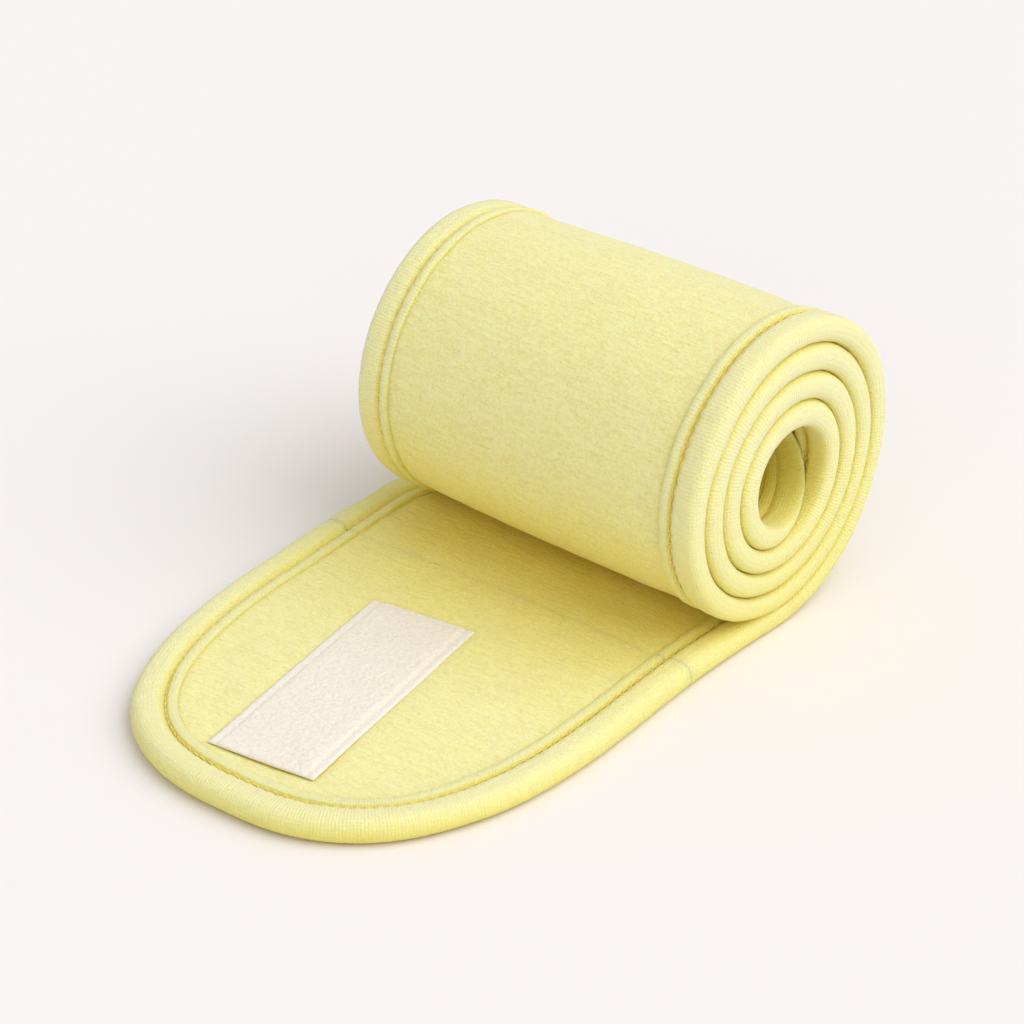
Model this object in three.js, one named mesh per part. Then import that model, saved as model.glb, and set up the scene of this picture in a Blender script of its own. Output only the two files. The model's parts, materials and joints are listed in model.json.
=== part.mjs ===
// Spa headband: a long padded band with a bound edge and hook-and-loop ends, rolled up with one end flat.
// Units are millimetres, +Z is up. Every sheet, binding and thread is first laid out flat in band coordinates
// (x across the band, y along it, z above the floor) and rolled up from the point where the coil starts.
import * as THREE from "three";

// Driving dimensions of the band
const BAND_WIDTH = 98;
const BINDING_THICKNESS = 4.8; // the padded rim is the thickest part of the band
const BINDING_REACH = 10.5; // how far the binding tape covers the faces, measured from the rim
const BULB_WIDTH = 7; // the rounded outer part of the binding, outside its seam
const TAIL_LENGTH = 125; // from the point where the coil starts to the tip of the free end
const END_LENGTH = 72; // stretch over which each end rounds off
const END_POWER = 2.6; // superellipse exponent of the rounded ends

// The layers between the two faces of the binding
const FACE_THICKNESS = 0.8;
const WADDING_THICKNESS = 1;
const LAYER_GAP = 0.2;
const SHEET_INSET = 2.7; // the sheets stop short of the rim, inside the binding
const CORE_TRIM = 8.5; // the inner end curls so tightly that its layers are trimmed back by this much more
const CORE_TRIM_START = 58; // distances from the inner tip between which the trim grows
const CORE_TRIM_FULL = 44;

// Section of the binding
const SLOT_HALF_HEIGHT = 1.7; // of the slot that holds the layers
const SLOT_DEPTH = 2.3; // from the rim to the bottom of the slot
const HEM_HALF_HEIGHT = 2; // outside of the flat hem
const BULB_SHOULDER = 1.2; // width of the slope from the hem up to the bulb
const RIM_ROUNDING = 1.6;
const RIM_FLAT_SHARE = 0.45; // share of the thickness that is flat at the rim
const SECTION_STEP = 2.8; // longest edge of the section

// Threads and hook-and-loop tape
const THREAD_WIDTH = 0.3;
const THREAD_GAP = 0.1; // between the thread and the hem
const TAPE_THREAD_GAP = 0.3; // between the thread and the tape, which curls with the roll
const TAPE_WIDTH = 25;
const TAPE_LENGTH = 60;
const TAPE_THICKNESS = 0.9;
const TAPE_STITCH_INSET = 1.8;
const HOOK_TAPE_FROM_TIP = 43.5; // centre of the hook tape, measured from the tip of the free end
const HOOK_TAPE_OFFSET = -4; // the tape was sewn on a little off centre and a little turned
const HOOK_TAPE_TURN = THREE.MathUtils.degToRad(6);
const LOOP_TAPE_FROM_TIP = 54; // centre of the loop tape, measured from the tip of the inner end

// The coil: turns about a core, packed tighter underneath than on top
const CORE_RADIUS = 11.6; // of the band's mid-surface, four turns in from the tail
const TURNS_TO_CORE = 4;
const PITCH = 5.62;
const PITCH_SPREAD = 0.55;
const LOOSEST_SIDE = THREE.MathUtils.degToRad(200); // angle round the coil from its lowest point
const COIL_ANGLE = THREE.MathUtils.degToRad(1640); // from the lowest point of the outer turn to the inner tip
const FACET_ANGLE = THREE.MathUtils.degToRad(20);
const LENGTH_STEP = THREE.MathUtils.degToRad(1);

// Rows of vertices round the two tips of the band
const TAIL_TIP_ROWS = 9;
const CORE_TIP_ROWS = 4;
const CORE_TIP_REACH = 8;

// The free end bends at two lines across the band, with the pivot in the upper surface of the binding
const ROOT_BEND_Y = -17;
const END_BEND_Y = -50.5;
const CUT_GAP = 0.2; // each side of a bend line

const MID_HEIGHT = BINDING_THICKNESS / 2;
const FULL_TURN = 2 * Math.PI;

const LEMON = 0xf3ecb0;
const LEMON_DARK = 0xe3d488;
const CREAM = 0xf1ebdd;
const WHITE = 0xf7f6f2;
const CLOTH_ROUGHNESS = 0.95;
const TAPE_ROUGHNESS = 0.8;
const THREAD_ROUGHNESS = 0.6;

// ---- The rolled-up mid-surface of the band ----

function coilRadius(angle) {
  const turns = TURNS_TO_CORE - angle / FULL_TURN;
  return CORE_RADIUS + turns * (PITCH + PITCH_SPREAD * Math.cos(angle - LOOSEST_SIDE));
}

const COIL_CENTRE_HEIGHT = coilRadius(0) + MID_HEIGHT;

function coilPoint(angle) {
  const radius = coilRadius(angle);
  return new THREE.Vector2(radius * Math.sin(angle), COIL_CENTRE_HEIGHT - radius * Math.cos(angle));
}

function coilDirection(angle) {
  const ahead = coilPoint(angle + LENGTH_STEP / 2);
  return ahead.sub(coilPoint(angle - LENGTH_STEP / 2)).normalize();
}

function measureCoil() {
  const lengths = [0];
  const steps = Math.ceil(COIL_ANGLE / LENGTH_STEP) + 1;
  for (let i = 1; i <= steps; i++) {
    const step = coilPoint(i * LENGTH_STEP).distanceTo(coilPoint((i - 1) * LENGTH_STEP));
    lengths.push(lengths[i - 1] + step);
  }
  return lengths;
}

const COIL_LENGTHS = measureCoil();

function lengthTo(angle) {
  const index = Math.min(Math.floor(angle / LENGTH_STEP), COIL_LENGTHS.length - 2);
  const part = angle / LENGTH_STEP - index;
  return THREE.MathUtils.lerp(COIL_LENGTHS[index], COIL_LENGTHS[index + 1], part);
}

function angleAt(length) {
  const found = COIL_LENGTHS.findIndex((value) => value > length);
  const index = (found < 0 ? COIL_LENGTHS.length - 1 : found) - 1;
  const step = COIL_LENGTHS[index + 1] - COIL_LENGTHS[index];
  return (index + (length - COIL_LENGTHS[index]) / step) * LENGTH_STEP;
}

// Moves a geometry from flat band coordinates to its place on the rolled band
function rollUp(geometry) {
  const position = geometry.getAttribute("position");
  for (let i = 0; i < position.count; i++) {
    const along = position.getY(i);
    if (along <= 0) continue;
    const angle = angleAt(along);
    const lift = position.getZ(i) - MID_HEIGHT;
    const point = coilPoint(angle);
    const direction = coilDirection(angle);
    position.setY(i, point.x - lift * direction.y);
    position.setZ(i, point.y + lift * direction.x);
  }
  return geometry;
}

// ---- The flat outline of the band ----

const TAIL_TIP_Y = -TAIL_LENGTH;
const CORE_TIP_Y = lengthTo(COIL_ANGLE);

function halfWidthAt(y, inset = 0) {
  const reach = END_LENGTH - inset;
  const fromTip = Math.min(y - TAIL_TIP_Y, CORE_TIP_Y - y) - inset;
  const share = THREE.MathUtils.clamp(1 - fromTip / reach, 0, 1);
  return (BAND_WIDTH / 2 - inset) * (1 - share ** END_POWER) ** (1 / END_POWER);
}

// Places along the band where a sheet or a rim gets a row of vertices, between two ends
function stationsBetween(from, to) {
  const stations = [from];
  for (let angle = 0; angle < COIL_ANGLE; angle += FACET_ANGLE) {
    const y = lengthTo(angle);
    if (y > from + 1 && y < to - 1) stations.push(y);
  }
  stations.push(to);
  return stations;
}

// Places that crowd towards a rounded tip, given as distances from it
function tipStations(reach, count) {
  return Array.from({ length: count + 1 }, (_, i) => reach * (i / count) ** 2);
}

const TAIL_TIP_STATIONS = tipStations(END_LENGTH, TAIL_TIP_ROWS);
const CORE_TIP_STATIONS = tipStations(CORE_TIP_REACH, CORE_TIP_ROWS);

// ---- Sheets ----

function sheet(stations, halfWidth, bottom, top) {
  const rows = stations.length - 1;
  const geometry = new THREE.BoxGeometry(2, 1, 1, 1, rows, 1);
  const position = geometry.getAttribute("position");
  for (let i = 0; i < position.count; i++) {
    const y = stations[Math.round((position.getY(i) + 0.5) * rows)];
    const z = position.getZ(i) > 0 ? top : bottom;
    position.setXYZ(i, position.getX(i) * halfWidth(y), y, z);
  }
  return geometry;
}

const SEGMENT_STATIONS = {
  roll: coreStations(SHEET_INSET + CORE_TRIM),
  tail_root: [END_BEND_Y + CUT_GAP, ROOT_BEND_Y - CUT_GAP],
  tail_end: tailEndStations(SHEET_INSET),
};

function coreStations(inset) {
  const tip = CORE_TIP_Y - inset;
  const near = CORE_TIP_STATIONS.slice(1, -1).map((distance) => tip - distance);
  const far = stationsBetween(ROOT_BEND_Y + CUT_GAP, tip - CORE_TIP_REACH);
  return [...far, ...near.reverse()];
}

function tailEndStations(inset) {
  const tip = TAIL_TIP_Y + inset;
  const rounded = TAIL_TIP_STATIONS.slice(1).map((distance) => tip + distance);
  return [...rounded.slice(0, -1), END_BEND_Y - CUT_GAP];
}

const LAYERS = {
  outer_face: { middle: -1, thickness: FACE_THICKNESS, colour: LEMON },
  wadding: { middle: 0, thickness: WADDING_THICKNESS, colour: WHITE },
  inner_face: { middle: 1, thickness: FACE_THICKNESS, colour: LEMON },
};
const FACE_OFFSET = WADDING_THICKNESS / 2 + LAYER_GAP + FACE_THICKNESS / 2;
const FACE_TOP = MID_HEIGHT + FACE_OFFSET + FACE_THICKNESS / 2;
const FACE_BOTTOM = 2 * MID_HEIGHT - FACE_TOP;

function layerHalfWidth(y) {
  const fromCoreTip = CORE_TIP_Y - y;
  const trim = CORE_TRIM * THREE.MathUtils.smoothstep(-fromCoreTip, -CORE_TRIM_START, -CORE_TRIM_FULL);
  return halfWidthAt(y, SHEET_INSET + trim);
}

function layerSheet(layer, segment) {
  const middle = MID_HEIGHT + layer.middle * FACE_OFFSET;
  const half = layer.thickness / 2;
  return rollUp(sheet(SEGMENT_STATIONS[segment], layerHalfWidth, middle - half, middle + half));
}

// ---- Binding and threads: a section carried along a flat path ----

class FlatPath extends THREE.Curve {
  constructor(points) {
    super();
    this.points = points;
  }

  getPointAt(share) {
    return this.points[Math.round(share * (this.points.length - 1))].clone();
  }

  getTangentAt(share) {
    const last = this.points.length - 1;
    const index = Math.round(share * last);
    const ahead = this.points[Math.min(index + 1, last)].clone();
    return ahead.sub(this.points[Math.max(index - 1, 0)]).normalize();
  }

  // The section stays upright: its x points out of the path in the flat plane and its y points up
  computeFrenetFrames(steps) {
    const frames = { tangents: [], normals: [], binormals: [] };
    for (let i = 0; i <= steps; i++) {
      const tangent = this.getTangentAt(i / steps);
      frames.tangents.push(tangent);
      frames.normals.push(new THREE.Vector3(-tangent.y, tangent.x, 0));
      frames.binormals.push(new THREE.Vector3(0, 0, 1));
    }
    return frames;
  }
}

function sweep(section, points) {
  const extrudePath = new FlatPath(points);
  const steps = points.length - 1;
  return new THREE.ExtrudeGeometry(section, { steps, extrudePath, bevelEnabled: false });
}

// Section of the binding tape, folded over the edge of the band: x is 0 at the rim and negative inwards
function bindingSection() {
  const half = BINDING_THICKNESS / 2;
  const upper = [
    [-SLOT_DEPTH, SLOT_HALF_HEIGHT],
    [-BINDING_REACH, SLOT_HALF_HEIGHT],
    [-BINDING_REACH, HEM_HALF_HEIGHT],
    [-BULB_WIDTH, HEM_HALF_HEIGHT],
    [-BULB_WIDTH + BULB_SHOULDER, half],
    [-RIM_ROUNDING, half],
    [0, half * RIM_FLAT_SHARE],
  ];
  const upperFine = split(upper.map(([x, y]) => new THREE.Vector2(x, y)));
  const lower = upperFine.map(({ x, y }) => new THREE.Vector2(x, -y)).reverse();
  return new THREE.Shape([...upperFine, ...lower]);
}

// The same line with its long edges split, so that each edge follows the curl of the roll
function split(points) {
  return points.flatMap((point, index) => {
    if (index === 0) return [point];
    const previous = points[index - 1];
    const parts = Math.ceil(previous.distanceTo(point) / SECTION_STEP);
    return Array.from({ length: parts }, (_, part) => previous.clone().lerp(point, (part + 1) / parts));
  });
}

// Section of a sewing thread lying on a surface: a small triangle
function threadSection(offset, height) {
  const half = THREAD_WIDTH / 2;
  const side = Math.sign(height);
  return new THREE.Shape([
    new THREE.Vector2(offset - half, height),
    new THREE.Vector2(offset + half, height),
    new THREE.Vector2(offset, height + side * THREAD_WIDTH),
  ]);
}

function edgePoint(side, y) {
  return new THREE.Vector3(side * halfWidthAt(y), y, MID_HEIGHT);
}

// The rim of each segment, walked with the band on the right-hand side
const RIM_PATHS = {
  roll: rollRim(),
  tail_root_left: tailRootRim(-1),
  tail_root_right: tailRootRim(1),
  tail_end: tailEndRim(),
};

function rollRim() {
  const far = stationsBetween(ROOT_BEND_Y + CUT_GAP, CORE_TIP_Y - CORE_TIP_REACH);
  const near = CORE_TIP_STATIONS.slice(1, -1).map((distance) => CORE_TIP_Y - distance);
  const inward = [...far, ...near.reverse()];
  const left = inward.map((y) => edgePoint(-1, y));
  const right = inward.map((y) => edgePoint(1, y)).reverse();
  return [...left, edgePoint(1, CORE_TIP_Y), ...right];
}

function tailRootRim(side) {
  const outward = [ROOT_BEND_Y - CUT_GAP, END_BEND_Y + CUT_GAP];
  const points = outward.map((y) => edgePoint(side, y));
  return side > 0 ? points : points.reverse();
}

function tailEndRim() {
  const rounded = TAIL_TIP_STATIONS.slice(1).map((distance) => TAIL_TIP_Y + distance);
  const stations = [...rounded, END_BEND_Y - CUT_GAP];
  const left = stations.map((y) => edgePoint(-1, y));
  const right = stations.map((y) => edgePoint(1, y)).reverse();
  return [...right, edgePoint(1, TAIL_TIP_Y), ...left];
}

function binding(path) {
  return rollUp(sweep(bindingSection(), path));
}

function bindingThread(path, side) {
  const height = side * (HEM_HALF_HEIGHT + THREAD_GAP);
  return rollUp(sweep(threadSection(-BULB_WIDTH - THREAD_WIDTH, height), path));
}

// ---- Hook-and-loop tape ----

const TAPE_STITCH_HEIGHT = FACE_OFFSET + FACE_THICKNESS / 2 + LAYER_GAP + TAPE_THICKNESS + TAPE_THREAD_GAP;

function tapeSheet(centreY, side) {
  const start = centreY - TAPE_LENGTH / 2;
  const stations = stationsBetween(start, start + TAPE_LENGTH);
  const near = side > 0 ? FACE_TOP + LAYER_GAP : FACE_BOTTOM - LAYER_GAP - TAPE_THICKNESS;
  return sheet(stations, () => TAPE_WIDTH / 2, near, near + TAPE_THICKNESS);
}

// One line of stitching round the tape, just inside its edge, that starts and ends at the same corner
function tapeStitching(centreY, side) {
  const halfWidth = TAPE_WIDTH / 2 - TAPE_STITCH_INSET;
  const halfLength = TAPE_LENGTH / 2 - TAPE_STITCH_INSET;
  const rows = stationsBetween(centreY - halfLength, centreY + halfLength);
  const corner = (x, y) => new THREE.Vector3(x, y, MID_HEIGHT);
  const up = rows.map((y) => corner(-halfWidth, y));
  const down = rows.map((y) => corner(halfWidth, y)).reverse();
  const closing = corner(-halfWidth + 2 * THREAD_WIDTH, rows[0]);
  return sweep(threadSection(0, side * TAPE_STITCH_HEIGHT), [...up, ...down, closing]);
}

function turnHookTape(geometry) {
  return geometry.rotateZ(HOOK_TAPE_TURN).translate(HOOK_TAPE_OFFSET, TAIL_TIP_Y + HOOK_TAPE_FROM_TIP, 0);
}

// ---- Assembly ----

function mesh(name, geometry, color, roughness = CLOTH_ROUGHNESS) {
  const made = new THREE.Mesh(geometry, new THREE.MeshStandardMaterial({ color, roughness, metalness: 0 }));
  made.name = name;
  return made;
}

function layerMeshes(segment) {
  return Object.entries(LAYERS).map(([name, layer]) =>
    mesh(`${name}_${segment}`, layerSheet(layer, segment), layer.colour),
  );
}

function rimMeshes(segment) {
  const path = RIM_PATHS[segment];
  return [
    mesh(`binding_${segment}`, binding(path), LEMON),
    mesh(`needle_thread_${segment}`, bindingThread(path, 1), LEMON_DARK, THREAD_ROUGHNESS),
    mesh(`bobbin_thread_${segment}`, bindingThread(path, -1), LEMON_DARK, THREAD_ROUGHNESS),
  ];
}

function hookTapeMeshes() {
  return [
    mesh("hook_tape", turnHookTape(tapeSheet(0, 1)), CREAM, TAPE_ROUGHNESS),
    mesh("hook_tape_thread", turnHookTape(tapeStitching(0, 1)), LEMON_DARK, THREAD_ROUGHNESS),
  ];
}

function loopTapeMeshes() {
  const centre = CORE_TIP_Y - LOOP_TAPE_FROM_TIP;
  return [
    mesh("loop_tape", rollUp(tapeSheet(centre, -1)), CREAM, TAPE_ROUGHNESS),
    mesh("loop_tape_thread", rollUp(tapeStitching(centre, -1)), LEMON_DARK, THREAD_ROUGHNESS),
  ];
}

const headband = new THREE.Group();
headband.add(...layerMeshes("roll"), ...rimMeshes("roll"), ...loopTapeMeshes());
headband.add(...layerMeshes("tail_root"), ...rimMeshes("tail_root_left"), ...rimMeshes("tail_root_right"));
headband.add(...layerMeshes("tail_end"), ...rimMeshes("tail_end"), ...hookTapeMeshes());

// The origin is on the floor, under the middle of the band as it lies
const extent = new THREE.Box3().setFromObject(headband);
headband.position.y = -(extent.min.y + extent.max.y) / 2;

export default headband;
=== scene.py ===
"""Spa headband rolled up with one end lying free: every textile piece is laid out flat,
shaped, and then rolled up along the same line as the frame."""

import json
import math

import bpy
import numpy as np
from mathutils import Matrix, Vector


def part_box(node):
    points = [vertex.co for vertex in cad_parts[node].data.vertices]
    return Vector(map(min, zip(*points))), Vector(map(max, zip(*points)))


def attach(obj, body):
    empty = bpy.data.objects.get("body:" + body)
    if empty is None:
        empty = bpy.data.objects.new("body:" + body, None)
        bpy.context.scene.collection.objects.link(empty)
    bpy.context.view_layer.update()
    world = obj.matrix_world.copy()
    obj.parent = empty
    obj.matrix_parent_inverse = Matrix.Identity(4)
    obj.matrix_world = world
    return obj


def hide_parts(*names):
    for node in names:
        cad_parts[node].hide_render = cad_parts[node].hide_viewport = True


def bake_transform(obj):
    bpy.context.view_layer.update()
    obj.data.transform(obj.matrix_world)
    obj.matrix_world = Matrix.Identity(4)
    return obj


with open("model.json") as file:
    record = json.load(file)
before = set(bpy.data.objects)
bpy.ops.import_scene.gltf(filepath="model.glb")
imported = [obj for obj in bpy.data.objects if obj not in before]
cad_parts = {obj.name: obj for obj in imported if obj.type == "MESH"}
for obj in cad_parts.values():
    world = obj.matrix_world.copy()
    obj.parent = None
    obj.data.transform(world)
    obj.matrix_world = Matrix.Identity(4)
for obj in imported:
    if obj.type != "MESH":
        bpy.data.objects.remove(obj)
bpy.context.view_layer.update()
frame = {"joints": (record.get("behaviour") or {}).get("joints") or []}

MM = 0.001

# The outline and the rolled line of the band, the same as the frame's.
HALF_WIDTH = 49 * MM
TAIL_LENGTH = 125 * MM
END_LENGTH = 72 * MM
END_POWER = 2.6
CORE_RADIUS = 11.6 * MM
TURNS_TO_CORE = 4
PITCH = 5.62 * MM
PITCH_SPREAD = 0.55 * MM
LOOSEST_SIDE = math.radians(200)
FRAME_COIL_ANGLE = math.radians(1640)
FRAME_MIDDLE = 2.4 * MM
PIVOT_TO_START = 17 * MM

# The inner end: it runs on past the frame's, tapers, and is pressed against the turn outside it.
COIL_ANGLE = math.radians(1763)
CORE_END_LENGTH = 60 * MM
CORE_END_POWER = 1.7
PRESSED_FROM = 58 * MM
PRESSED_TO = 38 * MM
PRESSED_SHARE = 0.2

# The band on the floor, and how it is pressed in the roll.
TAIL_MIDDLE = 2.75 * MM
TAIL_TOP = 3.2 * MM
ROLL_OUTSIDE = 2.6 * MM
LAYER_SHARE = 0.99
SETTLING = 30 * MM
PRESSING_FROM = -34 * MM
PRESSING_TO = -10 * MM
OUTER_TURN_ENDS = (math.radians(340), math.radians(380))

# The roll sits a little askew on the free end, and is wound a little narrower than it.
ASKEW_FROM_LEFT = -14 * MM
ASKEW_FROM_RIGHT = -58 * MM
ASKEW_TO = 8 * MM
ROLL_NARROWING = 0.065
ROLL_SHIFT = 5.6 * MM
ROLL_TURN = math.radians(3.5)
ROLL_TAPER = 0.010
TAPER_FULL = 20 * MM

# The binding's section: rounded rim, seam and hem.
RIM_RADIUS = 3.0 * MM
FREE_RIM_POWER = 2.1
ROLLED_RIM_POWER = 2.9
CREST = 3.8 * MM
SEAM = 7.0 * MM
HEM_EDGE = 9.7 * MM
SEAM_HALF = 1.75 * MM
HEM_HALF = 2.5 * MM
TUCK_HALF = 1.25 * MM
RIM_STATIONS = RIM_RADIUS * (1 - np.cos(np.radians([18, 36, 54, 72, 90])))
BULB_STATIONS = np.linspace(RIM_RADIUS, SEAM, 9)[1:]
BULB_FALL_POWER = 2.4
HEM_STATIONS = HEM_EDGE - np.array([2.55, 2.3, 1.9, 1.2, 0.6, 0.3, 0.1, 0.0]) * MM
HEM_RISES = (0.15, 0.8, 1.0, 1.06, 1.03, 0.86)
HEM_RIPPLE = 0.1 * MM
BINDING_TURN_FROM = -20 * MM
BINDING_TURN_TO = 20 * MM
SHARP_BINDING = 75
SHARP_EDGES = 60

# Unevenness of the binding, which dies away where its two halves meet.
CALM = 10 * MM
BINDING_SWELL = 0.035
BINDING_WANDER = 0.25 * MM
LUMP_HEIGHT = 0.08 * MM
LUMP_WIDTH = 0.07 * MM
FULLEST = 1.02

# Seam stitches, and what they pull in.
STITCH = 2.6 * MM
STEPS_PER_STITCH = 4
THREAD_STEPS_PER_STITCH = 10
STITCH_PULL = 0.6 * MM
STITCH_DENT = 0.35 * MM
SEAM_THREAD_INSET = 0.05 * MM
SEAM_THREAD_RADIUS = 0.17 * MM
SEAM_THREAD_RISE = 0.22 * MM
SEAM_THREAD_DIP = 0.8 * MM
TAPE_THREAD_RADIUS = 0.11 * MM
TAPE_THREAD_RISE = 0.05 * MM
TAPE_THREAD_DIP = 0.55 * MM
TAPE_THREAD_END_DROP = 0.25 * MM
TAPE_THREAD_GAP = 4

# The two faces and the wadding between them.
FACE_INSET = 8.4 * MM
FACE_HALF = 1.75 * MM
FACE_STEP = 1.0 * MM
FACE_COLUMNS = 80
FACE_THICKNESS = 0.7 * MM
LEAST_WIDTH = 0.5 * MM
FACE_WAVES = ((11, 0.10 * MM, 9 * MM, 7 * MM), (21, 0.05 * MM, 2.6 * MM, 1.9 * MM))
PUFF = 0.75 * MM
PUFF_ROWS = 190
PUFF_COLUMNS = 27
PUFF_STEPS = 20
CLEARANCE = 0.1 * MM
WADDING_STEP = 3 * MM
WADDING_COLUMNS = 24
WADDING_INSET = FACE_INSET + 0.4 * MM
WADDING_SHORTER = 2 * MM

# The two hook-and-loop tapes.
TAPE_WIDTH = 25 * MM
TAPE_LENGTH = 60 * MM
TAPE_THICKNESS = 0.55 * MM
TAPE_TURN = math.radians(6)
TAPE_STITCH_INSET = 1.9 * MM
TAPE_END_STITCH_INSET = 1.2 * MM
TAPE_COLUMNS = 72
TAPE_ROWS = 168
TAPE_OVER_CLOTH = 0.12 * MM
TAPE_PILE = 0.10 * MM
TAPE_PILE_SIZE = 0.5 * MM
TAPE_GROOVE = 0.18 * MM
TAPE_GROOVE_WIDTH = 0.5 * MM
TAPE_SINK = 0.1 * MM
TAPE_EDGE_ROUND = 0.2 * MM
SELVAGE = 1.7 * MM
SELVAGE_SHARE = 0.78
HOOK_BED = 0.35 * MM
HOOK_BED_INSET = 0.6 * MM
HOOK_BED_WIDTH = 1.6 * MM
LOOP_FROM_END = 54 * MM
LOOP_BED = 0.6 * MM
LOOP_BED_SLOPE = 2 * MM

joints = {joint["name"]: joint for joint in frame["joints"]}
ROOT_Y = joints["root_bend"]["pos_m"][1]
END_Y = joints["end_bend"]["pos_m"][1]
START_Y = ROOT_Y + PIVOT_TO_START
SPLIT = (ROOT_Y + END_Y) / 2 - START_Y


def clamp(value, low, high):
    return np.minimum(np.maximum(value, low), high)


def smooth(value, low, high):
    share = clamp((value - low) / (high - low), 0, 1)
    return share * share * (3 - 2 * share)


def noise(seed, u, v, size_u, size_v):
    """Smooth random values from -1 to 1, one lattice cell per size_u by size_v."""
    lattice = np.random.default_rng(seed).uniform(-1, 1, (256, 256))
    u, v = np.asarray(u) / size_u, np.asarray(v) / size_v
    iu, iv = np.floor(u).astype(int), np.floor(v).astype(int)
    fu, fv = u - iu, v - iv
    fu, fv = fu * fu * (3 - 2 * fu), fv * fv * (3 - 2 * fv)
    a, b = lattice[iu % 256, iv % 256], lattice[(iu + 1) % 256, iv % 256]
    c, d = lattice[iu % 256, (iv + 1) % 256], lattice[(iu + 1) % 256, (iv + 1) % 256]
    return (a * (1 - fu) + b * fu) * (1 - fv) + (c * (1 - fu) + d * fu) * fv


# ---- the line of the coil


def pitch_at(angle):
    return PITCH + PITCH_SPREAD * np.cos(angle - LOOSEST_SIDE)


def coil_radius(angle):
    return CORE_RADIUS + (TURNS_TO_CORE - angle / (2 * math.pi)) * pitch_at(angle)


COIL_ANGLES = np.linspace(0, COIL_ANGLE, 6561)
COIL_Y = coil_radius(COIL_ANGLES) * np.sin(COIL_ANGLES)
COIL_Z = coil_radius(0) + FRAME_MIDDLE - coil_radius(COIL_ANGLES) * np.cos(COIL_ANGLES)
COIL_S = np.concatenate([[0], np.cumsum(np.hypot(np.diff(COIL_Y), np.diff(COIL_Z)))])
COIL_LENGTH = COIL_S[-1]
COIL_DY = np.gradient(COIL_Y, COIL_S)
COIL_DZ = np.gradient(COIL_Z, COIL_S)


def angle_at(s):
    return np.interp(s, COIL_S, COIL_ANGLES)


def roll_up(flat):
    """Points (across, along, height over the middle of the band) to places in the frame."""
    x, s, height = flat.T
    in_coil = s > 0
    middle = FRAME_MIDDLE + (TAIL_MIDDLE - FRAME_MIDDLE) * (1 - smooth(s, 0, SETTLING))
    share = 1 - (1 - PRESSED_SHARE) * smooth(s, COIL_LENGTH - PRESSED_FROM, COIL_LENGTH - PRESSED_TO)
    lift = height * share + middle - FRAME_MIDDLE - (1 - share) * half_pitch(s)
    y = np.interp(s, COIL_S, COIL_Y) - lift * np.interp(s, COIL_S, COIL_DZ)
    z = np.interp(s, COIL_S, COIL_Z) + lift * np.interp(s, COIL_S, COIL_DY)
    y = np.where(in_coil, y, s)
    z = np.where(in_coil, z, height + middle)
    taper = 1 + ROLL_TAPER * x / HALF_WIDTH * smooth(s, 0, TAPER_FULL)
    to_right = (1 + x / HALF_WIDTH) / 2
    askew = smooth(s, ASKEW_FROM_LEFT + (ASKEW_FROM_RIGHT - ASKEW_FROM_LEFT) * to_right, ASKEW_TO)
    x = x * (1 - ROLL_NARROWING * askew) + ROLL_SHIFT * askew
    turn = -ROLL_TURN * askew
    across = x * np.cos(turn) - y * taper * np.sin(turn)
    along = x * np.sin(turn) + y * taper * np.cos(turn)
    return np.stack([across, START_Y + along, z * taper], axis=1)


def half_pitch(s):
    return LAYER_SHARE * pitch_at(angle_at(np.maximum(s, 0))) / 2


def top_half(s):
    """Height of the binding's crest over the middle, on the side that faces up or inwards."""
    free = 1 - smooth(s, PRESSING_FROM, PRESSING_TO)
    return half_pitch(s) + (TAIL_TOP - half_pitch(s)) * free


def bottom_half(s):
    """The same on the side that faces down or outwards."""
    outer_turn = 1 - smooth(angle_at(np.maximum(s, 0)), *OUTER_TURN_ENDS)
    return half_pitch(s) + (ROLL_OUTSIDE - half_pitch(s)) * outer_turn


# ---- the outline of the band, cut flat


def half_width_at(s, inset):
    half = HALF_WIDTH - inset
    free_share = clamp(1 - (s + TAIL_LENGTH - inset) / (END_LENGTH - inset), 0, 1)
    core_share = clamp(1 - (COIL_LENGTH - s - inset) / (CORE_END_LENGTH - inset), 0, 1)
    free_end = half * (1 - free_share**END_POWER) ** (1 / END_POWER)
    core_end = half * (1 - core_share**CORE_END_POWER) ** (1 / CORE_END_POWER)
    return np.minimum(free_end, core_end)


def outline(tip_sign, first_s):
    """The edge line from first_s on the right, round one tip, and back on the left."""
    turn = np.linspace(0, math.pi / 2, 400)
    tip, length, power = -TAIL_LENGTH, END_LENGTH, END_POWER
    if tip_sign > 0:
        tip, length, power = COIL_LENGTH, CORE_END_LENGTH, CORE_END_POWER
    across = HALF_WIDTH * np.cos(turn) ** (2 / power)
    along = length * np.sin(turn) ** (2 / power)
    start = tip - tip_sign * length
    side = np.linspace(first_s, start, 40)[:-1]
    right = np.concatenate([
        np.stack([np.full(len(side), HALF_WIDTH), side], axis=1),
        np.stack([across, start + tip_sign * along], axis=1),
    ])
    left = right[::-1][1:] * [-1, 1]
    return np.concatenate([right, left])


def evenly(points, step):
    """The same line with points an even step apart, as many as makes whole stitches."""
    length = np.concatenate([[0], np.cumsum(np.hypot(*np.diff(points, axis=0).T))])
    stitches = round(length[-1] / (step * STEPS_PER_STITCH))
    places = np.linspace(0, length[-1], stitches * STEPS_PER_STITCH + 1)
    even = np.stack([np.interp(places, length, points[:, i]) for i in range(2)], axis=1)
    return even, places


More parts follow.
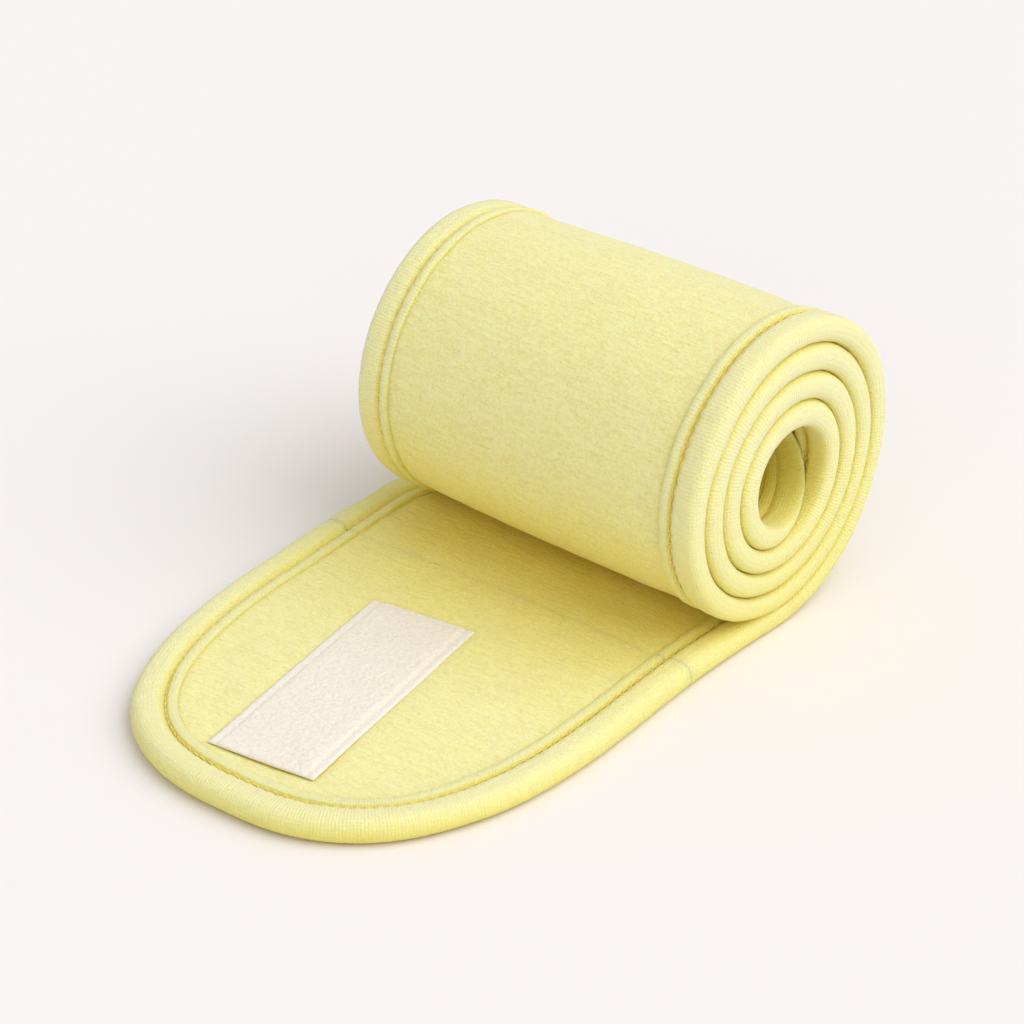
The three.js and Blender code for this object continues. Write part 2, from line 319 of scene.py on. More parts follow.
def inward(points):
    """Unit directions from the edge line, which starts on the right, to the inside of the band."""
    ahead = np.gradient(points, axis=0)
    for _ in range(6):
        ahead[1:-1] = (ahead[:-2] + 2 * ahead[1:-1] + ahead[2:]) / 4
    ahead /= np.linalg.norm(ahead, axis=1)[:, None]
    side = np.stack([-ahead[:, 1], ahead[:, 0]], axis=1)
    return -side * np.sign(side[5, 0])


# ---- meshes


def mesh_object(name, points, faces, cloth, sharp=None):
    """A smooth mesh that also carries its place on the flat cloth, for the materials."""
    mesh = bpy.data.meshes.new(name)
    mesh.from_pydata(points.tolist(), [], faces)
    mesh.shade_smooth()
    if sharp is not None:
        mesh.set_sharp_from_angle(angle=math.radians(sharp))
    attribute = mesh.attributes.new("cloth", "FLOAT_VECTOR", "POINT")
    attribute.data.foreach_set("vector", np.ascontiguousarray(cloth, np.float32).ravel())
    made = bpy.data.objects.new(name, mesh)
    bpy.context.scene.collection.objects.link(made)
    return made


def grid_faces(rows, columns, closed=False):
    """Faces of a grid of points stored row by row; closed joins the last column to the first."""
    last = columns if closed else columns - 1
    row, column = np.meshgrid(np.arange(rows - 1), np.arange(last), indexing="ij")
    a = row * columns + column
    b = row * columns + (column + 1) % columns
    faces = np.stack([a, b, b + columns, a + columns], axis=-1).reshape(-1, 4)
    return faces.tolist()


def flipped(faces):
    return [tuple(reversed(face)) for face in faces]


def end_caps(rows, columns):
    """The first and the last ring of a closed grid, as two faces."""
    return [tuple(range(columns)), tuple(range((rows - 1) * columns, rows * columns))]


def pillow_faces(rows, columns):
    """Faces of an upper and a lower grid, stored one after the other, and of the strip round them."""
    count = rows * columns
    faces = grid_faces(rows, columns)
    faces += flipped([[count + i for i in face] for face in faces])
    index = np.arange(count).reshape(rows, columns)
    ring = np.concatenate([index[0], index[1:, -1], index[-1, -2::-1], index[-2:0:-1, 0]])
    after = np.roll(ring, -1)
    faces += np.stack([after, ring, ring + count, after + count], axis=1).tolist()
    return faces, ring


# ---- the padding: a cloth simulation swells it between the seams


def puff_map():
    """Heights that a pressed-out cover takes over a grid of the flat band, as a share of 1."""
    rows, columns = PUFF_ROWS, PUFF_COLUMNS
    s = np.linspace(-TAIL_LENGTH + FACE_INSET, COIL_LENGTH - FACE_INSET, rows)
    u = np.linspace(-1, 1, columns)
    width = HALF_WIDTH - FACE_INSET
    x, along = np.meshgrid(width * u, s)
    top = np.stack([x, along, np.full_like(x, FACE_HALF)], axis=-1).reshape(-1, 3)
    bottom = top * [1, 1, -1]
    count = rows * columns
    faces, ring = pillow_faces(rows, columns)
    points = np.concatenate([top, bottom])
    cover = mesh_object("cover", points, faces, points)
    seam = cover.vertex_groups.new(name="seam")
    seam.add([int(i) for i in np.concatenate([ring, ring + count])], 1.0, "REPLACE")
    modifier = cover.modifiers.new("swell", "CLOTH")
    settings = modifier.settings
    settings.vertex_group_mass = "seam"
    settings.use_pressure = True
    settings.uniform_pressure_force = 4
    settings.effector_weights.gravity = 0
    settings.shrink_min = -0.012
    settings.mass = 0.1
    settings.quality = 6
    settings.tension_stiffness = 10
    settings.compression_stiffness = 10
    settings.shear_stiffness = 5
    settings.bending_stiffness = 0.3
    for moment in range(1, PUFF_STEPS + 1):
        bpy.context.scene.frame_set(moment)
    bpy.context.view_layer.objects.active = cover
    bpy.ops.object.modifier_apply(modifier="swell")
    heights = np.array([v.co.z for v in cover.data.vertices])
    bpy.data.objects.remove(cover)
    bpy.context.scene.frame_set(1)
    top_rise = (heights[:count] - FACE_HALF).reshape(rows, columns)
    bottom_rise = (-FACE_HALF - heights[count:]).reshape(rows, columns)
    scale = np.percentile(top_rise, 90)
    top_share, bottom_share = (clamp(rise / scale, -0.5, 1.3) for rise in (top_rise, bottom_rise))
    return s, u, top_share, bottom_share


PUFF_S, PUFF_U, PUFF_TOP, PUFF_BOTTOM = puff_map()


def sample(table, s, u):
    """Bilinear reading of a puff map."""
    row = np.interp(s, PUFF_S, np.arange(len(PUFF_S)))
    column = np.interp(u, PUFF_U, np.arange(len(PUFF_U)))
    r = np.minimum(row.astype(int), len(PUFF_S) - 2)
    c = np.minimum(column.astype(int), len(PUFF_U) - 2)
    fr, fc = row - r, column - c
    near = table[r, c] * (1 - fc) + table[r, c + 1] * fc
    far = table[r + 1, c] * (1 - fc) + table[r + 1, c + 1] * fc
    return near * (1 - fr) + far * fr


def tape_place(node):
    """Centre of a tape on the flat band, from the frame's node."""
    low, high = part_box(node)
    return (low.x + high.x) / 2, (low.y + high.y) / 2 - START_Y


HOOK_X, HOOK_S = tape_place("hook_tape")

# The loop tape's centre, from the place where the frame's coil ends.
LOOP_S = float(np.interp(FRAME_COIL_ANGLE, COIL_ANGLES, COIL_S)) - LOOP_FROM_END


def tape_local(x, s):
    """Coordinates across and along the hook tape."""
    dx, ds = x - HOOK_X, s - HOOK_S
    across = dx * math.cos(TAPE_TURN) + ds * math.sin(TAPE_TURN)
    along = -dx * math.sin(TAPE_TURN) + ds * math.cos(TAPE_TURN)
    return across, along


def face_height(side, x, s):
    """Height of a face over the middle; side is +1 for the upper or inner face, -1 for the other."""
    u = x / np.maximum(half_width_at(s, FACE_INSET), MM)
    table = PUFF_TOP if side > 0 else PUFF_BOTTOM
    room = (top_half(s) if side > 0 else bottom_half(s)) - FACE_HALF
    rise = PUFF * sample(table, s, u)
    for seed, wave, size_across, size_along in FACE_WAVES:
        rise += wave * noise(seed + side, x, s, size_across, size_along)
    rise = np.minimum(rise, room - CLEARANCE)
    if side > 0:
        across, along = tape_local(x, s)
        out = np.maximum(np.abs(across) - TAPE_WIDTH / 2, np.abs(along) - TAPE_LENGTH / 2)
        rise -= HOOK_BED * np.exp(-(((out + HOOK_BED_INSET) / HOOK_BED_WIDTH) ** 2))
    else:
        out = np.maximum(np.abs(x) - TAPE_WIDTH / 2, np.abs(s - LOOP_S) - TAPE_LENGTH / 2)
        rise -= LOOP_BED * (1 - smooth(out, 0, LOOP_BED_SLOPE))
    return side * (FACE_HALF + rise)


# ---- the pieces, laid out flat and rolled up


def make_face(name, side, s_low, s_high):
    rows = int(round((s_high - s_low) / FACE_STEP)) + 1
    s = np.linspace(s_low, s_high, rows)
    u = np.linspace(-1, 1, FACE_COLUMNS)
    width = np.maximum(half_width_at(s, FACE_INSET), LEAST_WIDTH)
    x = width[:, None] * u[None, :]
    along = np.repeat(s[:, None], FACE_COLUMNS, axis=1)
    height = face_height(side, x, along)
    flat = np.stack([x, along, height], axis=-1).reshape(-1, 3)
    faces = grid_faces(rows, FACE_COLUMNS)
    return mesh_object(name, roll_up(flat), faces if side > 0 else flipped(faces), flat)


def make_wadding(name, s_low, s_high):
    rows = int(round((s_high - s_low) / WADDING_STEP)) + 1
    columns = WADDING_COLUMNS
    s = np.linspace(s_low, s_high, rows)
    u = np.linspace(-1, 1, columns)
    width = np.maximum(half_width_at(s, WADDING_INSET), LEAST_WIDTH)
    x = width[:, None] * u[None, :]
    along = np.repeat(s[:, None], columns, axis=1)
    upper = face_height(1, x, along) - FACE_THICKNESS
    lower = face_height(-1, x, along) + FACE_THICKNESS
    section = np.concatenate([x, x[:, ::-1]], axis=1)
    lengths = np.concatenate([along, along], axis=1)
    heights = np.concatenate([lower, upper[:, ::-1]], axis=1)
    flat = np.stack([section, lengths, heights], axis=-1).reshape(-1, 3)
    first, last = end_caps(rows, 2 * columns)
    faces = flipped(grid_faces(rows, 2 * columns, closed=True)) + [first] + flipped([last])
    return mesh_object(name, roll_up(flat), faces, flat, sharp=SHARP_EDGES)


def section_half(top, power, stitch_phase, ripple):
    """One side of the binding's section: distances in from the rim, and heights, for every station."""
    pull = 0.5 + 0.5 * np.cos(2 * math.pi * stitch_phase)
    rows = [top * (1 - (1 - d / RIM_RADIUS) ** power) ** (1 / power) for d in RIM_STATIONS]
    for d in BULB_STATIONS:
        share = max(d - CREST, 0) / (SEAM - CREST)
        fall = 0.5 - 0.5 * math.cos(math.pi * share**BULB_FALL_POWER)
        rows.append(top + (SEAM_HALF - STITCH_PULL * pull - top) * fall)
    for rise in HEM_RISES:
        dent = STITCH_DENT * pull * max(0.0, 1 - rise)
        rows.append(SEAM_HALF + (HEM_HALF - SEAM_HALF) * rise + HEM_RIPPLE * rise * ripple - dent)
    rows.append(SEAM_HALF + HEM_RIPPLE * ripple)
    rows.append(np.full_like(top, TUCK_HALF))
    return np.concatenate([RIM_STATIONS, BULB_STATIONS, HEM_STATIONS]), np.array(rows).T


def make_binding(name, tip_sign, first_s):
    """The binding from first_s on the right, round one tip, to first_s on the left."""
    edge, places = evenly(outline(tip_sign, first_s), STITCH / STEPS_PER_STITCH)
    into = inward(edge)
    s = edge[:, 1]
    rows = len(s)
    phase = np.arange(rows) / STEPS_PER_STITCH
    calm = smooth(np.abs(s - SPLIT), 0, CALM)
    swell = 1 + BINDING_SWELL * calm * noise(31, places, 0 * places, 14 * MM, 1)
    ripple = calm * noise(32, places, 0 * places, 5 * MM, 1)
    rolled = smooth(s, BINDING_TURN_FROM, BINDING_TURN_TO)
    power = FREE_RIM_POWER + (ROLLED_RIM_POWER - FREE_RIM_POWER) * rolled
    crests = [np.minimum(half(s) * swell, half(s) * FULLEST) for half in (top_half, bottom_half)]
    distance, upper = section_half(crests[0], power, phase, ripple)
    _, lower = section_half(crests[1], power, phase, ripple)
    shift = BINDING_WANDER * calm * noise(33, places, 0 * places, 18 * MM, 1)
    distances = np.concatenate([distance[::-1], [0], distance])
    heights = np.concatenate([-lower[:, ::-1], np.zeros((rows, 1)), upper], axis=1)
    lumps = noise(34, places[:, None], distances * np.sign(heights) + 20 * MM, 1.5 * MM, 1.2 * MM)
    lumps *= calm[:, None]
    heights += LUMP_HEIGHT * lumps * np.sign(heights)
    around = np.concatenate([[0], np.cumsum(np.hypot(np.diff(distances), np.diff(heights[0])))])
    fade = clamp(1 - distances / SEAM, 0, 1)[None, :]
    inset = distances[None, :] + (shift[:, None] + LUMP_WIDTH * lumps) * fade
    x = edge[:, :1] + into[:, :1] * inset
    along = edge[:, 1:] + into[:, 1:] * inset
    flat = np.stack([x, along, heights], axis=-1).reshape(-1, 3)
    columns = len(distances)
    length = np.repeat(places[:, None], columns, axis=1)
    girth = np.repeat(around[None, :], rows, axis=0)
    cloth = np.stack([length, girth, heights], axis=-1).reshape(-1, 3)
    first, last = end_caps(rows, columns)
    faces = grid_faces(rows, columns, closed=True) + flipped([first]) + [last]
    if tip_sign > 0:
        faces = flipped(faces)
    return mesh_object(name, roll_up(flat), faces, cloth, sharp=SHARP_BINDING)


def tube(name, flat_line, radius, sides=6):
    """A thin round thread along points laid out on the flat band."""
    ahead = np.gradient(flat_line, axis=0)
    ahead /= np.linalg.norm(ahead, axis=1)[:, None]
    up = np.array([0.0, 0.0, 1.0])
    side = np.cross(ahead, up)
    side /= np.linalg.norm(side, axis=1)[:, None]
    over = np.cross(side, ahead)
    turn = np.linspace(0, 2 * math.pi, sides, endpoint=False)
    cosine, sine = np.cos(turn)[None, :, None], np.sin(turn)[None, :, None]
    ring = side[:, None, :] * cosine + over[:, None, :] * sine
    flat = (flat_line[:, None, :] + radius * ring).reshape(-1, 3)
    rows = len(flat_line)
    first, last = end_caps(rows, sides)
    faces = grid_faces(rows, sides, closed=True) + flipped([first]) + [last]
    return mesh_object(name, roll_up(flat), faces, flat)


def stitched(rise, dip, phase):
    """Height of a thread over the cloth: it lies on top and dips at every stitch hole."""
    return rise - dip * (0.5 + 0.5 * np.cos(2 * math.pi * phase)) ** 2


def make_seam_thread(name, tip_sign, first_s, side):
    """The row of stitches along the seam, on the side that faces up (1) or down (-1)."""
    edge, _ = evenly(outline(tip_sign, first_s), STITCH / STEPS_PER_STITCH)
    into = inward(edge)
    line = edge + into * (SEAM + SEAM_THREAD_INSET)
    steps = len(line) - 1
    fine = np.linspace(0, steps, steps // STEPS_PER_STITCH * THREAD_STEPS_PER_STITCH + 1)
    line = np.stack([np.interp(fine, np.arange(steps + 1), line[:, i]) for i in range(2)], axis=1)
    rise = stitched(SEAM_THREAD_RISE, SEAM_THREAD_DIP, fine / STEPS_PER_STITCH)
    height = side * (SEAM_HALF + rise)
    return tube(name, np.column_stack([line, height]), SEAM_THREAD_RADIUS)


def on_band(centre, turn, across, along):
    """Points of a tape as points of the flat band."""
    x = centre[0] + across * math.cos(turn) - along * math.sin(turn)
    s = centre[1] + across * math.sin(turn) + along * math.cos(turn)
    return x, s


def make_tape(name, centre, turn, side):
    """A woven tape with a raised field between two flat selvages, and the heights of its surface."""
    columns, rows = TAPE_COLUMNS, TAPE_ROWS
    u = np.linspace(-TAPE_WIDTH / 2, TAPE_WIDTH / 2, columns)
    v = np.linspace(-TAPE_LENGTH / 2, TAPE_LENGTH / 2, rows)
    across, along = np.meshgrid(u, v)
    x, s = on_band(centre, turn, across, along)
    under = np.abs(face_height(side, x, s))
    under = (under + under.mean()) / 2 + TAPE_OVER_CLOTH
    from_edge = np.minimum(TAPE_WIDTH / 2 - np.abs(across), TAPE_LENGTH / 2 - np.abs(along))
    from_side = TAPE_WIDTH / 2 - np.abs(across)
    field = smooth(from_side, SELVAGE, 1.5 * SELVAGE)
    pile = TAPE_PILE * noise(41, across, along, TAPE_PILE_SIZE, TAPE_PILE_SIZE) * field
    groove = TAPE_GROOVE * np.exp(-(((from_side - TAPE_STITCH_INSET) / TAPE_GROOVE_WIDTH) ** 2))
    roundness = 0.35 + 0.65 * np.sqrt(clamp(from_edge / TAPE_EDGE_ROUND, 0, 1))
    raised = SELVAGE_SHARE + (1 - SELVAGE_SHARE) * field
    over = under + TAPE_THICKNESS * roundness * raised + pile - groove
    upper = np.stack([x, s, side * over], axis=-1).reshape(-1, 3)
    lower = np.stack([x, s, side * (under - TAPE_SINK)], axis=-1).reshape(-1, 3)
    faces, _ = pillow_faces(rows, columns)
    if side < 0:
        faces = flipped(faces)
    flat = np.concatenate([upper, lower])
    cloth = np.stack([across, along, np.zeros_like(across)], axis=-1).reshape(-1, 3)
    cloth = np.concatenate([cloth, cloth])
    return mesh_object(name, roll_up(flat), faces, cloth, sharp=SHARP_EDGES), over


def make_tape_thread(name, centre, turn, side, surface):
    """A run of stitches just inside the tape's edge, all the way round but for a few steps."""
    a, b = TAPE_WIDTH / 2 - TAPE_STITCH_INSET, TAPE_LENGTH / 2 - TAPE_END_STITCH_INSET
    corners = np.array([[a, -b], [a, b], [-a, b], [-a, -b], [a, -b]])
    length = np.concatenate([[0], np.cumsum(np.hypot(*np.diff(corners, axis=0).T))])
    stitches = round(length[-1] / STITCH)
    places = np.linspace(0, length[-1], stitches * THREAD_STEPS_PER_STITCH + 1)[:-TAPE_THREAD_GAP]
    across, along = (np.interp(places, length, corners[:, i]) for i in range(2))
    x, s = on_band(centre, turn, across, along)
    rows, columns = surface.shape
    i = clamp(np.round((along / TAPE_LENGTH + 0.5) * (rows - 1)), 0, rows - 1).astype(int)
    j = clamp(np.round((across / TAPE_WIDTH + 0.5) * (columns - 1)), 0, columns - 1).astype(int)
    phase = np.arange(len(places)) / THREAD_STEPS_PER_STITCH
    rise = stitched(TAPE_THREAD_RISE, TAPE_THREAD_DIP, phase)
    on_short_side = np.abs(along) > b - 0.01 * MM
    rise -= np.where(on_short_side, TAPE_THREAD_END_DROP, 0)
    height = side * (surface[i, j] + rise)
    return tube(name, np.column_stack([x, s, height]), TAPE_THREAD_RADIUS)


# ---- materials


class Nodes:
    """Shorthand for making a material's node tree."""

    def __init__(self, name):
        self.material = bpy.data.materials.new(name)
        self.material.use_nodes = True
        self.tree = self.material.node_tree
        self.shader = self.tree.nodes["Principled BSDF"]

    def add(self, kind, **inputs):
        node = self.tree.nodes.new("ShaderNode" + kind)
        for key, value in inputs.items():
            socket = node.inputs[key.replace("_", " ")]
            if isinstance(value, bpy.types.NodeSocket):
                self.tree.links.new(value, socket)
            else:
                socket.default_value = value
        return node

    def cloth(self, scale):
        """The place on the flat cloth, stretched by scale."""
        source = self.tree.nodes.new("ShaderNodeAttribute")
        source.attribute_name = "cloth"
        mapping = self.add("Mapping", Vector=source.outputs["Vector"])
        mapping.inputs["Scale"].default_value = scale
        return mapping.outputs["Vector"]

    def noise(self, scale, detail=3.0, roughness=0.55, distortion=0.0):
        made = self.add("TexNoise", Vector=self.cloth(scale), Scale=1.0, Detail=detail)
        made.inputs["Roughness"].default_value = roughness
        made.inputs["Distortion"].default_value = distortion
        return made.outputs["Fac"]

    def ramp(self, value, stops):
        made = self.add("ValToRGB", Fac=value)
        elements = made.color_ramp.elements
        for i, (place, colour) in enumerate(stops):
            element = elements[i] if i < 2 else elements.new(place)
            element.position = place
            element.color = (*colour, 1)
        return made.outputs["Color"]

    def math(self, operation, *values):
        made = self.tree.nodes.new("ShaderNodeMath")
        made.operation = operation
        for i, value in enumerate(values):
            if isinstance(value, bpy.types.NodeSocket):
                self.tree.links.new(value, made.inputs[i])
            else:
                made.inputs[i].default_value = value
        return made.outputs["Value"]

    def mix(self, factor, a, b, blend="MIX"):
        made = self.tree.nodes.new("ShaderNodeMix")
        made.data_type = "RGBA"
        made.blend_type = blend
        for i, value in ((0, factor), (6, a), (7, b)):
            if isinstance(value, bpy.types.NodeSocket):
                self.tree.links.new(value, made.inputs[i])
            else:
                made.inputs[i].default_value = value if i == 0 else (*value, 1)
        return made.outputs[2]

    def bump(self, height, strength, distance, normal=None):
        made = self.add("Bump", Height=height, Strength=strength, Distance=distance)
        if normal is not None:
            self.tree.links.new(normal, made.inputs["Normal"])
        return made.outputs["Normal"]

    def place(self):
        """The three coordinates on the flat cloth."""
        source = self.tree.nodes.new("ShaderNodeAttribute")
        source.attribute_name = "cloth"
        return self.add("SeparateXYZ", Vector=source.outputs["Vector"]).outputs

    def lemon(self, clouds):
        """The cloth's own lemon with painted shade: pale where it lies open, deeper and more golden in
        folds and between layers, where ambient occlusion finds nearby cloth.
        """
        hollow = self.tree.nodes.new("ShaderNodeAmbientOcclusion")
        hollow.samples = 4
        hollow.inputs["Distance"].default_value = 45 * MM
        # Painted shade: the less open the cloth, the deeper and more golden its colour
        openness = self.math("ADD", hollow.outputs["AO"], self.math("MULTIPLY", clouds, 0.12))
        return self.ramp(openness, LEMON_PAINTED_FOLD_SHADE)

    def finish(self, colour, roughness, normal, **numbers):
        self.tree.links.new(colour, self.shader.inputs["Base Color"])
        self.tree.links.new(roughness, self.shader.inputs["Roughness"])
        self.tree.links.new(normal, self.shader.inputs["Normal"])
        for key, value in numbers.items():
            self.shader.inputs[key.replace("_", " ")].default_value = value
        return self.material


def per_mm(*cycles):
    return tuple(c / MM for c in cycles)


# One rib of the knit binding, and one course across the ribs
RIB = 0.72 * MM
COURSE = 0.80 * MM

# The soft edge of the pile against the light
NAP = {"Sheen_Weight": 0.3, "Sheen_Roughness": 0.45, "Sheen_Tint": (1.0, 0.95, 0.70, 1)}

# Light that soaks into the pile and comes out again nearby
GLOW = {"Subsurface_Weight": 0.5, "Subsurface_Radius": (1.0, 0.8, 0.2), "Subsurface_Scale": 2.5 * MM}

# Colours of painted shade, from deep folds to open cloth; the last stop is the cloth's own pale lemon
LEMON_PAINTED_FOLD_SHADE = [
    (0.0, (0.95, 0.74, 0.03)),
    (0.45, (0.97, 0.86, 0.22)),
    (0.82, (0.96, 0.87, 0.34)),
    (1.0, (0.98, 0.92, 0.48)),
]


def velour():
    n = Nodes("lemon_velour")
    pile = n.noise(per_mm(1.3, 1.5, 1.4), 4, 0.75)
    rows = n.noise(per_mm(0.22, 1.05, 0.8), 3, 0.62, 0.9)
    clouds = n.noise(per_mm(0.06, 0.05, 0.05), 2, 0.5)
    tufts = n.ramp(pile, [(0.36, (0.86, 0.82, 0.60)), (0.56, (1, 1, 1))])
    brushed = n.ramp(rows, [(0.36, (0.93, 0.90, 0.74)), (0.56, (1, 1, 1))])
    # The lemon colour carries painted shade in folds and between layers
    colour = n.mix(0.6, n.lemon(clouds), tufts, "MULTIPLY")
    colour = n.mix(0.6, colour, brushed, "MULTIPLY")
    roughness = n.math("MULTIPLY_ADD", pile, 0.2, 0.78)
    normal = n.bump(rows, 0.8, 0.55 * MM)
    normal = n.bump(pile, 0.8, 0.42 * MM, normal)
    return n.finish(colour, roughness, normal, Specular_IOR_Level=0.1, **NAP, **GLOW)


def ribbed_knit():
    n = Nodes("lemon_binding")
    place = n.place()
    wander = n.noise(per_mm(0.25, 0.5, 0.3), 2, 0.5)
    across = n.math("MULTIPLY", place["X"], 2 * math.pi / RIB)
    along = n.math("MULTIPLY", place["Y"], 2 * math.pi / COURSE)
    ribs = n.math("SINE", n.math("ADD", across, n.math("MULTIPLY", wander, 5.0)))
    courses = n.math("SINE", n.math("ADD", along, n.math("MULTIPLY", wander, 6.0)))
    fibres = n.noise(per_mm(1.7, 1.4, 1.5), 4, 0.75)
    clouds = n.noise(per_mm(0.07, 0.1, 0.1), 2, 0.5)
    height = n.math("ADD", n.math("MULTIPLY", ribs, 0.32), n.math("MULTIPLY", courses, 0.16))
    height = n.math("ADD", height, n.math("MULTIPLY", fibres, 2.4))
    level = n.math("MULTIPLY_ADD", height, 0.4, 0.5)
    # Painted shade: the colour is darker in the valleys between the knit's ribs and courses
    painted_valley_shade = n.ramp(level, [(0.1, (0.88, 0.83, 0.58)), (0.5, (1, 1, 1))])
    # The lemon colour carries painted shade in folds and between layers
    colour = n.mix(0.7, n.lemon(clouds), painted_valley_shade, "MULTIPLY")
    roughness = n.math("MULTIPLY_ADD", fibres, 0.2, 0.76)
    normal = n.bump(height, 0.9, 0.22 * MM)
    return n.finish(colour, roughness, normal, Specular_IOR_Level=0.12, **NAP, **GLOW)


def thread(name, dark, light):
    n = Nodes(name)
    twist = n.noise(per_mm(2.5, 2.5, 2.5), 2, 0.6)
    colour = n.ramp(twist, [(0.3, dark), (0.7, light)])
    roughness = n.math("MULTIPLY_ADD", twist, 0.2, 0.5)
    return n.finish(colour, roughness, n.bump(twist, 0.5, 0.06 * MM), Sheen_Weight=0.2)


def hook_field():
    n = Nodes("cream_tape")
    hooks = n.noise(per_mm(1.2, 1.0, 1.1), 4, 0.75)
    weave = n.add("TexWave", Vector=n.cloth(per_mm(0.28, 0.28, 0.28)), Scale=1.0, Distortion=2.5)
    weave.bands_direction = "Y"
    clouds = n.noise(per_mm(0.12, 0.12, 0.12), 2, 0.5)
    field = n.ramp(clouds, [(0.3, (0.90, 0.84, 0.745)), (0.7, (0.92, 0.865, 0.77))])
    from_middle = n.math("ABSOLUTE", n.place()["X"])
    selvage = n.math("GREATER_THAN", from_middle, TAPE_WIDTH / 2 - SELVAGE)
    base = n.mix(selvage, field, (0.90, 0.85, 0.79))
    tufts = n.ramp(hooks, [(0.36, (0.86, 0.85, 0.82)), (0.56, (1, 1, 1))])
    colour = n.mix(0.7, base, tufts, "MULTIPLY")
    roughness = n.math("MULTIPLY_ADD", hooks, 0.2, 0.6)
    normal = n.bump(hooks, 0.9, 0.36 * MM)
    normal = n.bump(weave.outputs["Fac"], 0.25, 0.08 * MM, normal)
    return n.finish(colour, roughness, normal, Sheen_Weight=0.25, Specular_IOR_Level=0.2)


def white_fill():
    n = Nodes("white_wadding")
    fluff = n.noise(per_mm(0.9, 0.9, 0.9), 4, 0.7)
    colour = n.ramp(fluff, [(0.3, (0.82, 0.81, 0.78)), (0.7, (0.92, 0.91, 0.88))])
    roughness = n.math("MULTIPLY_ADD", fluff, 0.1, 0.85)
    return n.finish(colour, roughness, n.bump(fluff, 0.8, 0.4 * MM), Sheen_Weight=0.3)


def plain_floor():
    n = Nodes("pale_floor")
    grain = n.noise((3.0, 3.0, 3.0), 2, 0.5)
    colour = n.ramp(grain, [(0.3, (0.846, 0.822, 0.824)), (0.7, (0.854, 0.830, 0.832))])
    roughness = n.math("MULTIPLY_ADD", grain, 0.05, 0.85)
    return n.finish(colour, roughness, n.bump(grain, 0.02, 0.1 * MM), Specular_IOR_Level=0.1)


MATERIALS = {
    "lemon_velour": velour(),
    "lemon_binding": ribbed_knit(),
    "lemon_thread": thread("lemon_thread", (0.88, 0.70, 0.10), (0.94, 0.80, 0.22)),
    "cream_tape": hook_field(),
    "white_wadding": white_fill(),
}
PALE_THREAD = thread("pale_thread", (0.88, 0.80, 0.45), (0.93, 0.87, 0.58))


def dress(piece, slot, *nodes, material=None):
    piece.data.materials.append(material or MATERIALS[slot])
    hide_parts(*nodes)
    return piece


def follow_root(piece):
    """Bakes a piece's transform into its mesh."""
    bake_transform(piece)


def follow_end(piece):
    """Bakes a piece's transform into its mesh."""
    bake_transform(piece)


TAIL_TIP = -TAIL_LENGTH + FACE_INSET
CORE_TIP = COIL_LENGTH - FACE_INSET

roll_binding = dress(
    make_binding("binding_roll_part", 1, SPLIT), "lemon_binding",
    "binding_roll", "binding_tail_root_left", "binding_tail_root_right",
)
tail_binding = dress(make_binding("binding_tail_part", -1, SPLIT), "lemon_binding", "binding_tail_end")
roll_inner = dress(
    make_face("inner_face_roll_part", 1, SPLIT, CORE_TIP), "lemon_velour",
    "inner_face_roll", "inner_face_tail_root",
)
tail_inner = dress(
    make_face("inner_face_tail_part", 1, TAIL_TIP, SPLIT), "lemon_velour", "inner_face_tail_end",
)
roll_outer = dress(
    make_face("outer_face_roll_part", -1, SPLIT, CORE_TIP), "lemon_velour",
    "outer_face_roll", "outer_face_tail_root",
)
tail_outer = dress(
    make_face("outer_face_tail_part", -1, TAIL_TIP, SPLIT), "lemon_velour", "outer_face_tail_end",
)
roll_wadding = dress(
    make_wadding("wadding_roll_part", SPLIT, COIL_LENGTH - PRESSED_FROM), "white_wadding",
    "wadding_roll", "wadding_tail_root",
)
tail_wadding = dress(
    make_wadding("wadding_tail_part", TAIL_TIP + WADDING_SHORTER, SPLIT), "white_wadding",
    "wadding_tail_end",
)
roll_needle = dress(
    make_seam_thread("needle_thread_roll_part", 1, SPLIT, 1), "lemon_thread",
    "needle_thread_roll", "needle_thread_tail_root_left", "needle_thread_tail_root_right",
)
tail_needle = dress(
    make_seam_thread("needle_thread_tail_part", -1, SPLIT, 1), "lemon_thread", "needle_thread_tail_end",
)
roll_bobbin = dress(
    make_seam_thread("bobbin_thread_roll_part", 1, SPLIT, -1), "lemon_thread",
    "bobbin_thread_roll", "bobbin_thread_tail_root_left", "bobbin_thread_tail_root_right",
)
tail_bobbin = dress(
    make_seam_thread("bobbin_thread_tail_part", -1, SPLIT, -1), "lemon_thread", "bobbin_thread_tail_end",
)
hook_at = ((HOOK_X, HOOK_S), TAPE_TURN, 1)
hook_made, hook_surface = make_tape("hook_tape_piece", *hook_at)
hook_piece = dress(hook_made, "cream_tape", "hook_tape")
hook_stitches = dress(
    make_tape_thread("hook_tape_stitches", *hook_at, hook_surface), "lemon_thread", "hook_tape_thread",
    material=PALE_THREAD,
)
loop_at = ((0.0, LOOP_S), 0.0, -1)
loop_made, loop_surface = make_tape("loop_tape_piece", *loop_at)
loop_piece = dress(loop_made, "cream_tape", "loop_tape")
loop_stitches = dress(
    make_tape_thread("loop_tape_stitches", *loop_at, loop_surface), "lemon_thread", "loop_tape_thread",
    material=PALE_THREAD,
)

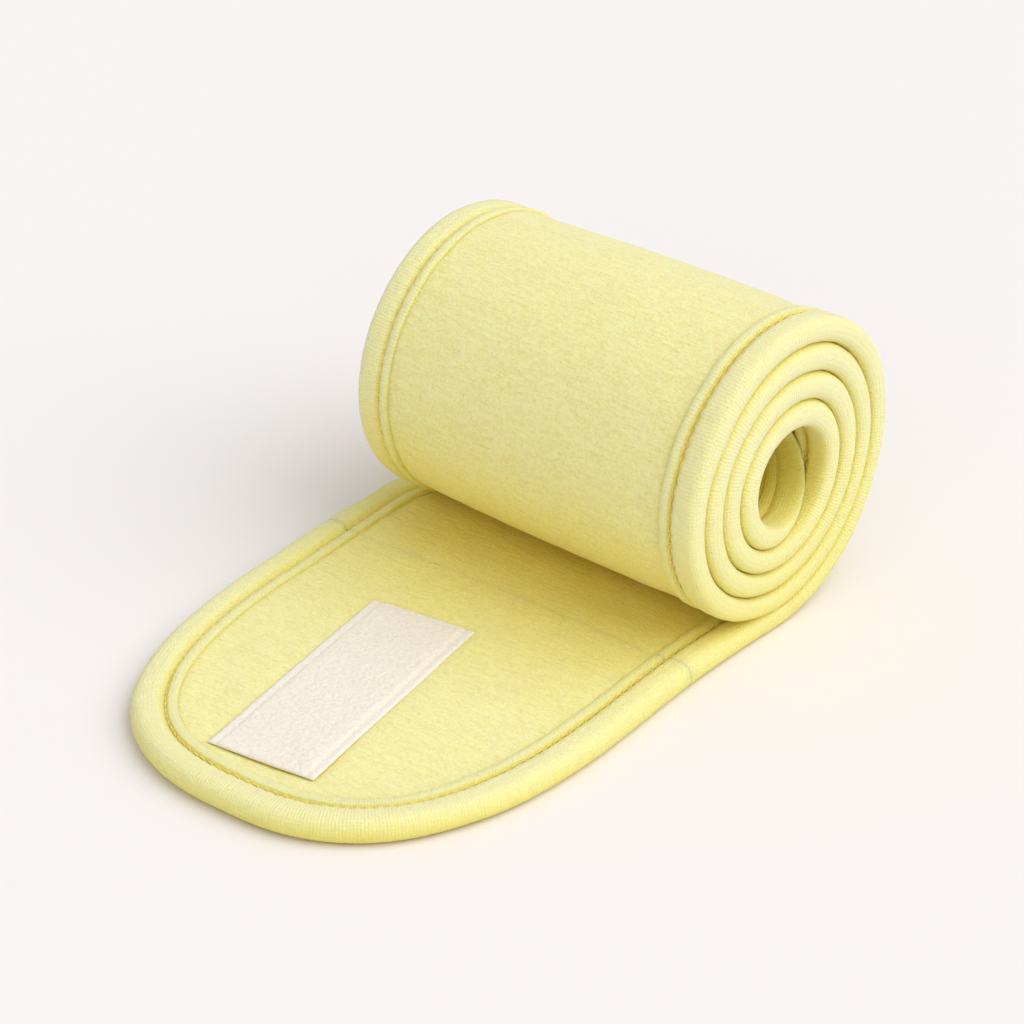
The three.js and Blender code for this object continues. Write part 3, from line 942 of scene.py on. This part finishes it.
for piece in (roll_binding, roll_inner, roll_outer, roll_wadding, roll_needle, roll_bobbin):
    follow_root(piece)
for piece in (tail_binding, tail_inner, tail_outer, tail_wadding, tail_needle, tail_bobbin):
    follow_end(piece)
for piece in (hook_piece, hook_stitches):
    follow_end(piece)
for piece in (loop_piece, loop_stitches):
    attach(piece, "roll")

# ---- floor, light and camera

FLOOR_REACH = 4
floor_mesh = bpy.data.meshes.new("floor")
signs = [(-1, -1), (1, -1), (1, 1), (-1, 1)]
floor_mesh.from_pydata([(FLOOR_REACH * x, FLOOR_REACH * y, 0) for x, y in signs], [], [(0, 1, 2, 3)])
floor = bpy.data.objects.new("floor", floor_mesh)
floor.data.materials.append(plain_floor())
bpy.context.scene.collection.objects.link(floor)

world = bpy.data.worlds.new("studio")
world.use_nodes = True
world.node_tree.nodes["Background"].inputs["Color"].default_value = (1.0, 0.99, 0.985, 1)
world.node_tree.nodes["Background"].inputs["Strength"].default_value = 0.60
bpy.context.scene.world = world


def softbox(name, azimuth, elevation, spread, strength, colour):
    """A broad soft light from far away, so that the floor is lit evenly."""
    data = bpy.data.lights.new(name, "SUN")
    data.angle = math.radians(spread)
    data.energy = strength
    data.color = colour
    lamp = bpy.data.objects.new(name, data)
    lamp.rotation_euler = (math.radians(90 - elevation), 0, math.radians(azimuth))
    bpy.context.scene.collection.objects.link(lamp)


softbox("key", 111, 50, 60, 1.8, (1.0, 0.985, 0.965))
softbox("fill", 32, 30, 60, 0.48, (1.0, 0.99, 0.98))

CAMERA_AZIMUTH = math.radians(36.9)
CAMERA_ELEVATION = math.radians(31.02)
camera_data = bpy.data.cameras.new("camera")
camera_data.sensor_width = 36
camera_data.lens = 113.5
camera = bpy.data.objects.new("camera", camera_data)
camera.location = (0.3482, START_Y - 0.4942, 0.3716)
camera.rotation_euler = (math.pi / 2 - CAMERA_ELEVATION, 0, CAMERA_AZIMUTH)
bpy.context.scene.collection.objects.link(camera)
bpy.context.scene.camera = camera
bpy.context.scene.view_settings.view_transform = "Standard"
bpy.context.scene.view_settings.look = "None"
